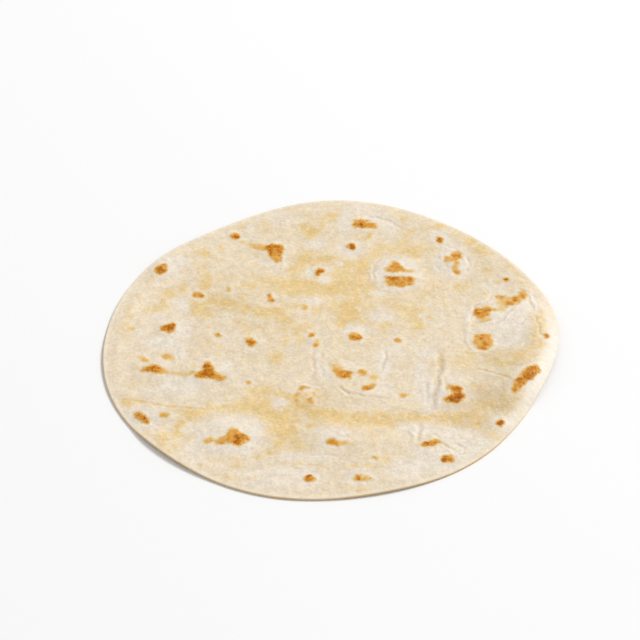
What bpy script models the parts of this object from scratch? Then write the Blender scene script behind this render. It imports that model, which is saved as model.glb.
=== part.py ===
"""A soft flour tortilla, lying open on a flat surface.

It is one thin round of baked dough: a closed, slightly wavy solid with both faces split into triangles
alike. It touches the surface it lies on over several flat patches, and between them it stands a few
millimetres off it. Steam blisters and a lifted rim are part of the upper face.

Metres, +Z up. The origin is on the surface below, under the middle of the outline. +X is to the right
and +Y away from whoever looks at it.
"""
import math

import bmesh
import bpy
from mathutils import Matrix

MM = 0.001

# ---- Driving sizes ----
MEAN_RADIUS = 123.0 * MM      # about 250 mm across, a ten-inch round
THICKNESS = 1.9 * MM          # of the dough away from the edge
EDGE_THICKNESS = 1.1 * MM     # just inside the rounded edge
EDGE_TAPER = 9.0 * MM         # how far in the dough thins out towards the edge
EDGE_ROUND = 0.5 * MM         # how far the edge's middle stands out past its two rims
RINGS = 26                    # rings of triangles from the middle to the edge

# ---- Outline: waves round the edge (times round, height, direction of a crest in degrees) ----
OUTLINE_WAVES = (
    (1, 1.8 * MM, 113), (2, 3.0 * MM, 40), (3, 0.6 * MM, -34), (4, 1.55 * MM, 1),
    (5, 1.3 * MM, 14), (6, 0.5 * MM, 20), (7, 0.5 * MM, -3),
)

# ---- How the sheet lies: long waves (length, direction and phase in degrees, height) ----
SHEET_WAVES = (
    (150 * MM, 25, 60, 0.8 * MM), (104 * MM, 112, 215, 0.7 * MM), (71 * MM, 63, 300, 0.35 * MM),
)
SHEET_SINK = 0.35 * MM        # how far the waves' middle is sunk, so that their lows lie flat
LANDING = 0.5 * MM            # height over which a wave eases on to the surface below
TROUGH_Y = -62 * MM           # a shallow furrow across the nearer third
TROUGH_HALF_WIDTH = 11 * MM
TROUGH_DEPTH = 1.3 * MM

# ---- Lifted stretches of rim (direction and half spread in degrees, height, crest's inset, droop) ----
RIM_LIFTS = (
    (-14, 46, 4.4 * MM, 12 * MM, 2.0 * MM),
    (72, 34, 1.8 * MM, 4 * MM, 0.2 * MM),
    (143, 34, 2.6 * MM, 4 * MM, 0.2 * MM),
    (212, 40, 2.4 * MM, 4 * MM, 0.3 * MM),
    (282, 30, 1.6 * MM, 5 * MM, 0.4 * MM),
)
RIM_RISE = 42 * MM            # width of the slope up to a lifted crest

# ---- Steam blisters: x, y, length, width (mm), turn in degrees, height (mm) ----
BLISTERS = (
    (39, 55, 36, 37, 0, 1.6), (97, 12, 52, 40, 35, 1.7), (83, -4, 21, 23, 0, 1.1),
    (72, 67, 25, 30, 0, 1.2), (18, 101, 30, 22, 0, 1.1), (-33, 76, 25, 24, 0, 1.0),
    (-98, 59, 18, 20, 0, 0.9), (-90, 7, 17, 17, 0, 0.8), (13, 0, 17, 16, 0, 0.8),
    (-50, -78, 58, 34, 8, 1.5), (-93, -62, 34, 21, -8, 1.1), (5, -80, 42, 26, -6, 1.0),
    (50, -85, 42, 30, 5, 1.3), (62, -44, 34, 30, 80, 1.4), (10, -36, 46, 36, 0, 1.1),
    (-67, -29, 38, 22, 0, 1.0), (-98, -25, 28, 18, -12, 0.8), (103, -33, 42, 18, 52, 1.2),
    (-15, -47, 20, 22, 0, 0.6), (64, 86, 14, 15, 0, 0.6),
)

DOUGH_COLOUR = (0.838, 0.716, 0.545, 1.0)
DOUGH_ROUGHNESS = 0.72


def edge_radius(angle):
    """Distance from the middle to the edge, in the direction of an angle in radians."""
    waves = sum(high * math.cos(times * (angle - math.radians(crest))) for times, high, crest in OUTLINE_WAVES)
    return MEAN_RADIUS + waves


def outline_middle(steps=720):
    """Middle of the box round the outline, which the origin is put under."""
    turns = [math.tau * step / steps for step in range(steps)]
    xs = [edge_radius(turn) * math.cos(turn) for turn in turns]
    ys = [edge_radius(turn) * math.sin(turn) for turn in turns]
    return (min(xs) + max(xs)) / 2, (min(ys) + max(ys)) / 2


def smooth_step(value):
    """0 below 0, 1 above 1, and an even slope between."""
    value = min(max(value, 0.0), 1.0)
    return value * value * (3 - 2 * value)


def long_waves(x, y):
    """The slack sheet's own waves, before it meets the surface below."""
    height = -SHEET_SINK
    for length, direction, phase, high in SHEET_WAVES:
        turn = math.radians(direction)
        along = x * math.cos(turn) + y * math.sin(turn)
        height += high * math.cos(math.tau * along / length + math.radians(phase))
    return height - TROUGH_DEPTH * math.exp(-((y - TROUGH_Y) / TROUGH_HALF_WIDTH) ** 2)


def rim_lift(angle, inset):
    """How far the lifted stretches raise a point, from its direction and its distance in from the edge."""
    height = 0.0
    for direction, spread, high, crest, droop in RIM_LIFTS:
        off = (math.degrees(angle) - direction + 180) % 360 - 180
        share = smooth_step(1 - abs(off) / spread)
        slope = smooth_step((RIM_RISE - inset) / (RIM_RISE - crest))
        fall = max(0.0, 1 - inset / crest) ** 2
        height += share * (high * slope - droop * fall)
    return height


def ease_down(height):
    """Lays what would be below the surface flat on it, and rounds the change."""
    if height >= LANDING:
        return height
    if height <= -LANDING:
        return 0.0
    return (height + LANDING) ** 2 / (4 * LANDING)


def underside(x, y, angle, inset):
    """Height of the lower face."""
    return ease_down(long_waves(x, y) + rim_lift(angle, inset))


def dough(inset):
    """Thickness of the dough, thinner towards the edge."""
    return EDGE_THICKNESS + (THICKNESS - EDGE_THICKNESS) * smooth_step(inset / EDGE_TAPER)


def blister_rise(x, y):
    """How far steam blisters raise the upper face."""
    rise = 0.0
    for centre_x, centre_y, length, width, turn, high in BLISTERS:
        turn = math.radians(turn)
        dx, dy = x / MM - centre_x, y / MM - centre_y
        along = (dx * math.cos(turn) + dy * math.sin(turn)) / (length / 2)
        across = (dy * math.cos(turn) - dx * math.sin(turn)) / (width / 2)
        inside = 1 - along * along - across * across
        if inside > 0:
            rise = max(rise, high * MM * inside ** 1.5)
    return rise


def hexagon_to_round(x, y):
    """Place in an even disc of a point of the six-sided disc: its angle, and its share of the way out."""
    distance = math.hypot(x, y)
    angle = math.atan2(y, x) % math.tau
    side = math.pi / 3
    sector, within = divmod(angle, side)
    near, far = math.sin(side - within), math.sin(within)
    return (sector + far / (near + far)) * side, distance * (near + far) / math.sin(side)


def even_disc(bm):
    """A flat six-sided disc of even triangles, one unit out to its corners, with a corner along +X."""
    bmesh.ops.create_circle(bm, cap_ends=True, cap_tris=True, segments=6, radius=1.0)
    bmesh.ops.rotate(bm, verts=bm.verts[:], cent=(0, 0, 0), matrix=Matrix.Rotation(math.radians(30), 3, "Z"))
    bmesh.ops.subdivide_edges(bm, edges=bm.edges[:], cuts=RINGS - 1, use_grid_fill=True)


def close_into_solid(bm):
    """Makes the disc one unit thick, with a wall round it that has a ring half way up."""
    grown = bmesh.ops.extrude_face_region(bm, geom=bm.faces[:], use_keep_orig=True)["geom"]
    upper = [item for item in grown if isinstance(item, bmesh.types.BMVert)]
    bmesh.ops.translate(bm, verts=upper, vec=(0.0, 0.0, 1.0))
    wall = [edge for edge in bm.edges if edge.verts[0].co.z != edge.verts[1].co.z]
    bmesh.ops.subdivide_edges(bm, edges=wall, cuts=1)


def shape_tortilla(bm):
    """Moves the thick disc's points to where the tortilla's are."""
    middle_x, middle_y = outline_middle()
    for vert in bm.verts:
        level = vert.co.z
        angle, share = hexagon_to_round(vert.co.x, vert.co.y)
        edge = edge_radius(angle)
        radius = share * (edge - EDGE_ROUND)
        inset = edge - EDGE_ROUND - radius
        x, y = radius * math.cos(angle), radius * math.sin(angle)
        height = underside(x, y, angle, inset)
        if level == 1.0:
            height += dough(inset) + blister_rise(x, y)
        elif level > 0.0:
            x, y = edge * math.cos(angle), edge * math.sin(angle)
            height += EDGE_THICKNESS / 2
        vert.co = (x - middle_x, y - middle_y, height)


def dough_material():
    """Baked wheat dough: pale, matt and a little floury."""
    material = bpy.data.materials.new("baked_dough")
    material.use_nodes = True
    shader = material.node_tree.nodes["Principled BSDF"]
    shader.inputs["Base Color"].default_value = DOUGH_COLOUR
    shader.inputs["Roughness"].default_value = DOUGH_ROUGHNESS
    shader.inputs["Metallic"].default_value = 0.0
    return material


def make_tortilla(collection):
    """The whole tortilla, as one closed body."""
    bm = bmesh.new()
    even_disc(bm)
    close_into_solid(bm)
    shape_tortilla(bm)
    bmesh.ops.triangulate(bm, faces=[face for face in bm.faces if len(face.verts) > 3])
    bmesh.ops.recalc_face_normals(bm, faces=bm.faces[:])
    mesh = bpy.data.meshes.new("tortilla")
    bm.to_mesh(mesh)
    bm.free()
    mesh.materials.append(dough_material())
    mesh.shade_smooth()
    mesh.set_sharp_from_angle(angle=math.radians(60))
    tortilla = bpy.data.objects.new("tortilla", mesh)
    collection.objects.link(tortilla)
    return tortilla


def clear_scene():
    """Removes whatever objects the file opened with."""
    for item in list(bpy.data.objects):
        bpy.data.objects.remove(item, do_unlink=True)


clear_scene()
tortilla_parts = bpy.data.collections.new("Tortilla")
bpy.context.scene.collection.children.link(tortilla_parts)
make_tortilla(tortilla_parts)
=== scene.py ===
"""Looks of a soft flour tortilla lying open: its finely modelled sheet, baked surface, light, camera."""
import math

import bmesh
import bpy
import numpy as np
from mathutils import Matrix, Vector, noise


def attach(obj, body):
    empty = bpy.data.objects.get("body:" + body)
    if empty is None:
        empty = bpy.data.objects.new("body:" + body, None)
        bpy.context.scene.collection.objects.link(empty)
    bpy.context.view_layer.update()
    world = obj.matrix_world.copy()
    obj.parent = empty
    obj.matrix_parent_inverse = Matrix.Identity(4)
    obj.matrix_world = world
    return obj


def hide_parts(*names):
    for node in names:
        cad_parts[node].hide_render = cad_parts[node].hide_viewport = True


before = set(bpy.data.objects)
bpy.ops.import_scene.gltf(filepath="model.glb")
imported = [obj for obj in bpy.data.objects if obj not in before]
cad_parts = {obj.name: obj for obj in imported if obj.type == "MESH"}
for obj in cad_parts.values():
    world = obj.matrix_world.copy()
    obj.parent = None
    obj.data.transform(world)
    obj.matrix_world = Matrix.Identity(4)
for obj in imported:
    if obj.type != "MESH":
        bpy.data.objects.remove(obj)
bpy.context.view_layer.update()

# ======== The sheet of dough ========
# A wheat dough ball pressed out by hand to a thin round and baked on a dry griddle. Its outline wanders a
# little, it lies in long low waves, steam has raised blisters on it, and its rim is lifted here and there.

MM = 0.001
MEAN_RADIUS = 123.0 * MM      # about 250 mm across, a ten-inch round
THICKNESS = 1.9 * MM          # of the dough away from the edge
EDGE_THICKNESS = 1.1 * MM     # just inside the rounded edge
EDGE_TAPER = 9.0 * MM         # how far in the dough thins out towards the edge
EDGE_ROUND = 0.5 * MM         # how far the edge's middle stands out past its two rims
TOP_RINGS = 150               # rings of triangles on the upper face, 0.8 mm apart
UNDER_RINGS = TOP_RINGS // 2  # the lower face is half as fine
WALL_CUTS = 3                 # rings between the two faces, round the edge

# waves round the edge: times round, height, direction of a crest in degrees
OUTLINE_WAVES = (
    (1, 1.8 * MM, 113), (2, 3.0 * MM, 40), (3, 0.6 * MM, -34), (4, 1.55 * MM, 1),
    (5, 1.3 * MM, 14), (6, 0.5 * MM, 20), (7, 0.5 * MM, -3),
)
# long waves of the sheet: length, direction and phase in degrees, height
SHEET_WAVES = (
    (150 * MM, 25, 60, 0.8 * MM), (104 * MM, 112, 215, 0.7 * MM), (71 * MM, 63, 300, 0.35 * MM),
)
SHEET_SINK = 0.35 * MM        # how far the waves' middle is sunk, so that their lows lie flat
LANDING = 0.5 * MM            # height over which a wave eases on to the surface below
TROUGH_Y = -62 * MM           # a shallow furrow across the nearer third
TROUGH_HALF_WIDTH = 11 * MM
TROUGH_DEPTH = 1.3 * MM
# lifted stretches of rim: direction and half spread in degrees, height, crest's inset, droop
RIM_LIFTS = (
    (-14, 46, 4.4 * MM, 12 * MM, 2.0 * MM),
    (72, 34, 1.8 * MM, 4 * MM, 0.2 * MM),
    (143, 34, 2.6 * MM, 4 * MM, 0.2 * MM),
    (212, 40, 2.4 * MM, 4 * MM, 0.3 * MM),
    (282, 30, 1.6 * MM, 5 * MM, 0.4 * MM),
)
RIM_RISE = 42 * MM            # width of the slope up to a lifted crest
# steam blisters: x, y, length, width (mm), turn in degrees, height (mm)
BLISTERS = (
    (39, 55, 36, 37, 0, 1.6), (97, 12, 52, 40, 35, 1.7), (83, -4, 21, 23, 0, 1.1),
    (72, 67, 25, 30, 0, 1.2), (18, 101, 30, 22, 0, 1.1), (-33, 76, 25, 24, 0, 1.0),
    (-98, 59, 18, 20, 0, 0.9), (-90, 7, 17, 17, 0, 0.8), (13, 0, 17, 16, 0, 0.8),
    (-50, -78, 58, 34, 8, 1.5), (-93, -62, 34, 21, -8, 1.1), (5, -80, 42, 26, -6, 1.0),
    (50, -85, 42, 30, 5, 1.3), (62, -44, 34, 30, 80, 1.4), (10, -36, 46, 36, 0, 1.1),
    (-67, -29, 38, 22, 0, 1.0), (-98, -25, 28, 18, -12, 0.8), (103, -33, 42, 18, 52, 1.2),
    (-15, -47, 20, 22, 0, 0.6), (64, 86, 14, 15, 0, 0.6),
)
# smaller blisters that only this fine sheet has
SMALL_BLISTERS = (
    (12, 80, 13, 13, 0, 0.5), (-57, 90, 11, 11, 0, 0.4), (-7, 56, 11, 11, 0, 0.45),
    (-76, 35, 11, 12, 0, 0.4), (100, 50, 10, 10, 0, 0.35), (-44, -4, 11, 12, 0, 0.4),
    (-10, -3, 10, 14, 0, 0.35), (36, -3, 9, 8, 0, 0.3), (87, -68, 12, 12, 0, 0.5),
    (-12, -108, 12, 10, 0, 0.4), (14, -107, 15, 9, 0, 0.4), (-34, 32, 9, 11, 0, 0.3),
    (-59, 41, 7, 7, 0, 0.25), (118, 0, 8, 10, 0, 0.3), (-44, -37, 8, 8, 0, 0.25),
)
# creases pressed into the sheet: width (mm), how deep (a share of CREASE_DEPTH, less than 0 for a raised
# ridge), then the places (mm) that they run through
CREASES = (
    (3, .42, (59.5, -11), (58.6, -26), (56, -38), (53.6, -47), (52.3, -60)),
    (1.8, .2, (61, -32), (60, -44)), (2.2, .26, (51, -36), (50.3, -47), (49.5, -57)),
    (2.2, .28, (46, -69), (44.5, -76), (44, -83)),
    (1.4, .24, (76, -26), (84, -28.5), (90, -31), (97, -35.5)), (1.6, .4, (3, -40), (6, -43), (10, -46.5)),
    (1.6, .24, (10, -46), (20, -48), (30, -50)), (2, .16, (-9, -9), (-11, -18), (-9, -27), (-11, -36)),
    (1.8, .12, (-5, -12), (-6, -24), (-4, -34)), (1.8, .3, (30, -12), (28.5, -20), (26.5, -30)),
    (1.6, .22, (63, -83), (68, -87), (66, -92)), (1.5, .21, (54, -81.5), (59, -85), (62.5, -89)),
    (1.6, .22, (38, -74), (41, -78), (39, -84)), (1.6, .2, (52, -76), (55, -80)),
    (1.6, .24, (25, 48), (24, 56), (25.5, 64), (30, 69)), (1.6, .3, (77.5, 57), (80, 63), (79.5, 71)),
    (1.8, .34, (76, 13), (79, 20), (82.5, 28)), (1.5, .26, (79, 11.5), (84, 12), (89, 13.5)),
    (3.6, -.26, (77, 20), (75.5, 10), (75.5, 1)), (1.6, .22, (94.5, 14), (98, 20), (104, 26)),
    (1.8, .17, (111, 38), (112, 30), (113, 21)), (1.5, .26, (105, 42), (112, 38), (115, 33)),
    (1.4, .2, (104, 8), (108, 16)), (1.5, .24, (89, 9), (96, 15)),
    (1.5, .22, (113, 19), (114.5, 9), (115, 0)),
    (1.5, .2, (-112, -49.5), (-100, -52.5), (-92, -54.5), (-84, -56), (-74, -57.5), (-60, -58)),
    (1.2, .16, (-20, -92), (-6, -91.5), (10, -92.5)), (1.2, .16, (-20, -98.3), (-13, -98.5), (-6, -98.3)),
    (2, .18, (18, 112), (34, 106), (44, 96)), (1.2, .09, (40, -60), (50, -62), (58, -65)),
    (1.6, .18, (-30, 58), (-29, 66), (-31, 72)), (1.6, .16, (-84, -10), (-83, -20)),
    (1.6, .16, (66, 84), (71, 79), (76, 76)), (1.5, -.2, (75, 13), (77.3, 17), (78.8, 21), (79.2, 26)),
    (1.5, -.16, (80, 27.5), (84, 28.3), (88, 32), (90, 37)),
    (1.4, -.18, (97.4, 15), (100, 18.5), (104.5, 24.5)),
    (1.6, -.2, (111.8, 39), (113, 35), (113.8, 29), (114.8, 22)),
    (1.4, -.16, (74.4, 3), (74, -4), (75.8, -9.5), (79, -13)), (1.4, -.16, (76.5, 71), (79, 65), (80, 59)),
    (1.4, -.12, (64, 75), (64, 68), (64.4, 62)),
)
CREASE_DEPTH = 1.5 * MM
CREASE_LIPS = 0.35            # height of the lips beside a crease, as a share of its depth
CREASE_ENDS = 0.15            # how far a crease has faded in right at its ends
CREASE_FADE = 5.0             # how fast it goes on: it is whole from a sixth of its length in


def edge_radius(angle):
    """Distance from the middle to the edge, in the direction of an angle in radians."""
    radius = np.full_like(angle, MEAN_RADIUS)
    for times, high, crest in OUTLINE_WAVES:
        radius += high * np.cos(times * (angle - math.radians(crest)))
    return radius


def smooth_step(value):
    """0 below 0, 1 above 1, and an even slope between."""
    value = np.clip(value, 0.0, 1.0)
    return value * value * (3 - 2 * value)


def underside_height(x, y, angle, inset):
    """Height of the lower face: waves and lifted rim, laid flat where they would be below the surface."""
    height = np.full_like(x, -SHEET_SINK)
    for length, direction, phase, high in SHEET_WAVES:
        turn = math.radians(direction)
        along = x * math.cos(turn) + y * math.sin(turn)
        height += high * np.cos(math.tau * along / length + math.radians(phase))
    height -= TROUGH_DEPTH * np.exp(-((y - TROUGH_Y) / TROUGH_HALF_WIDTH) ** 2)
    for direction, spread, high, crest, droop in RIM_LIFTS:
        off = (np.degrees(angle) - direction + 180) % 360 - 180
        share = smooth_step(1 - np.abs(off) / spread)
        slope = smooth_step((RIM_RISE - inset) / (RIM_RISE - crest))
        height += share * (high * slope - droop * np.maximum(0.0, 1 - inset / crest) ** 2)
    eased = (np.clip(height, -LANDING, LANDING) + LANDING) ** 2 / (4 * LANDING)
    return np.where(height > LANDING, height, eased)


def dough_thickness(inset):
    """Thickness of the dough, thinner towards the edge."""
    return EDGE_THICKNESS + (THICKNESS - EDGE_THICKNESS) * smooth_step(inset / EDGE_TAPER)


def oval_distance(x_mm, y_mm, centre_x, centre_y, length, width, turn):
    """0 at the middle of an oval and 1 on its edge."""
    turn = math.radians(turn)
    dx, dy = x_mm - centre_x, y_mm - centre_y
    along = (dx * math.cos(turn) + dy * math.sin(turn)) / (length / 2)
    across = (dy * math.cos(turn) - dx * math.sin(turn)) / (width / 2)
    return np.hypot(along, across)


def blister_rise(x_mm, y_mm, blisters):
    """How far steam blisters raise the upper face."""
    rise = np.zeros_like(x_mm)
    for *oval, high in blisters:
        inside = np.maximum(0.0, 1 - oval_distance(x_mm, y_mm, *oval) ** 2)
        rise = np.maximum(rise, high * MM * inside ** 1.5)
    return rise


def crease_depth(x_mm, y_mm, width, depth, *places):
    """How deep a crease is pressed in: a round-bottomed groove with low lips, fading out at its ends."""
    nearest, along = np.full_like(x_mm, np.inf), np.zeros_like(x_mm)
    stretches = len(places) - 1
    for count, ((from_x, from_y), (to_x, to_y)) in enumerate(zip(places, places[1:])):
        run_x, run_y = to_x - from_x, to_y - from_y
        share = ((x_mm - from_x) * run_x + (y_mm - from_y) * run_y) / (run_x ** 2 + run_y ** 2)
        share = np.clip(share, 0.0, 1.0)
        off = np.hypot(x_mm - from_x - share * run_x, y_mm - from_y - share * run_y)
        along = np.where(off < nearest, (count + share) / stretches, along)
        nearest = np.minimum(nearest, off)
    fade = smooth_step(CREASE_ENDS + CREASE_FADE * np.minimum(along, 1 - along))
    lips = CREASE_LIPS * np.exp(-((nearest - width) / (width / 2)) ** 2)
    return depth * fade * (np.exp(-(nearest / (width / 2)) ** 2) - lips)


def cloud(x_mm, y_mm, grain, seed, octaves=2):
    """Smooth seeded unevenness between about -1 and 1, with lumps a grain (mm) across."""
    fall, finer = 1.0, 2.0    # each octave is half as high as the one before, and twice as fine
    return np.array([noise.fractal(Vector((u / grain, v / grain, seed)), fall, finer, octaves)
                     for u, v in zip(x_mm, y_mm)])


def even_disc(bm, rings, level):
    """A flat six-sided disc of even triangles, a corner one unit along +X. Returns its border's edges."""
    middle = Matrix.Translation((0, 0, level)) @ Matrix.Rotation(math.radians(30), 4, "Z")
    made = bmesh.ops.create_circle(bm, cap_ends=True, cap_tris=True, segments=6, radius=1.0, matrix=middle)
    spokes = {edge for vert in made["verts"] for edge in vert.link_edges}
    bmesh.ops.subdivide_edges(bm, edges=list(spokes), cuts=rings - 1, use_grid_fill=True)
    return [edge for edge in bm.edges if edge.is_boundary and edge.verts[0].co.z == level]


def blank_sheet():
    """A thick six-sided disc: fine above, half as fine below, with a ringed wall between."""
    bm = bmesh.new()
    top_border = even_disc(bm, TOP_RINGS, 1.0)
    under_border = even_disc(bm, UNDER_RINGS, 0.0)
    bmesh.ops.subdivide_edges(bm, edges=under_border, cuts=1)
    under_border = [edge for edge in bm.edges if edge.is_boundary and edge.verts[0].co.z == 0.0]
    bmesh.ops.bridge_loops(bm, edges=top_border + under_border)
    wall = [edge for edge in bm.edges if edge.verts[0].co.z != edge.verts[1].co.z]
    bmesh.ops.subdivide_edges(bm, edges=wall, cuts=WALL_CUTS)
    bmesh.ops.triangulate(bm, faces=[face for face in bm.faces if len(face.verts) > 3])
    bmesh.ops.recalc_face_normals(bm, faces=bm.faces[:])
    mesh = bpy.data.meshes.new("tortilla_sheet")
    bm.to_mesh(mesh)
    bm.free()
    return mesh


def outline_middle(steps=720):
    """Middle of the box round the outline, which the origin is under."""
    turns = np.arange(steps) * math.tau / steps
    xs, ys = edge_radius(turns) * np.cos(turns), edge_radius(turns) * np.sin(turns)
    return (xs.min() + xs.max()) / 2, (ys.min() + ys.max()) / 2


sheet_mesh = blank_sheet()
blank = np.empty(len(sheet_mesh.vertices) * 3)
sheet_mesh.vertices.foreach_get("co", blank)
blank_x, blank_y, level = blank.reshape(-1, 3).T

# the six-sided disc rounded out to the outline: each point's direction, distance out and distance in
side = math.pi / 3
sector, within = np.divmod(np.arctan2(blank_y, blank_x) % math.tau, side)
near, far = np.sin(side - within), np.sin(within)
angle = (sector + far / (near + far)) * side
share = np.hypot(blank_x, blank_y) * (near + far) / math.sin(side)
radius = share * (edge_radius(angle) - EDGE_ROUND)
inset = edge_radius(angle) - EDGE_ROUND - radius
flat_x, flat_y = radius * np.cos(angle), radius * np.sin(angle)
x_mm, y_mm = flat_x / MM, flat_y / MM
is_top = level > 0.5

# ======== The toasted marks and the patches ========
# Where the dough touched the hot griddle longest it has browned, in small ragged spots, mostly on crowns of
# blisters. Round them it is dry and pale with flour, and in between it is damp and yellow in places.

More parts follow.
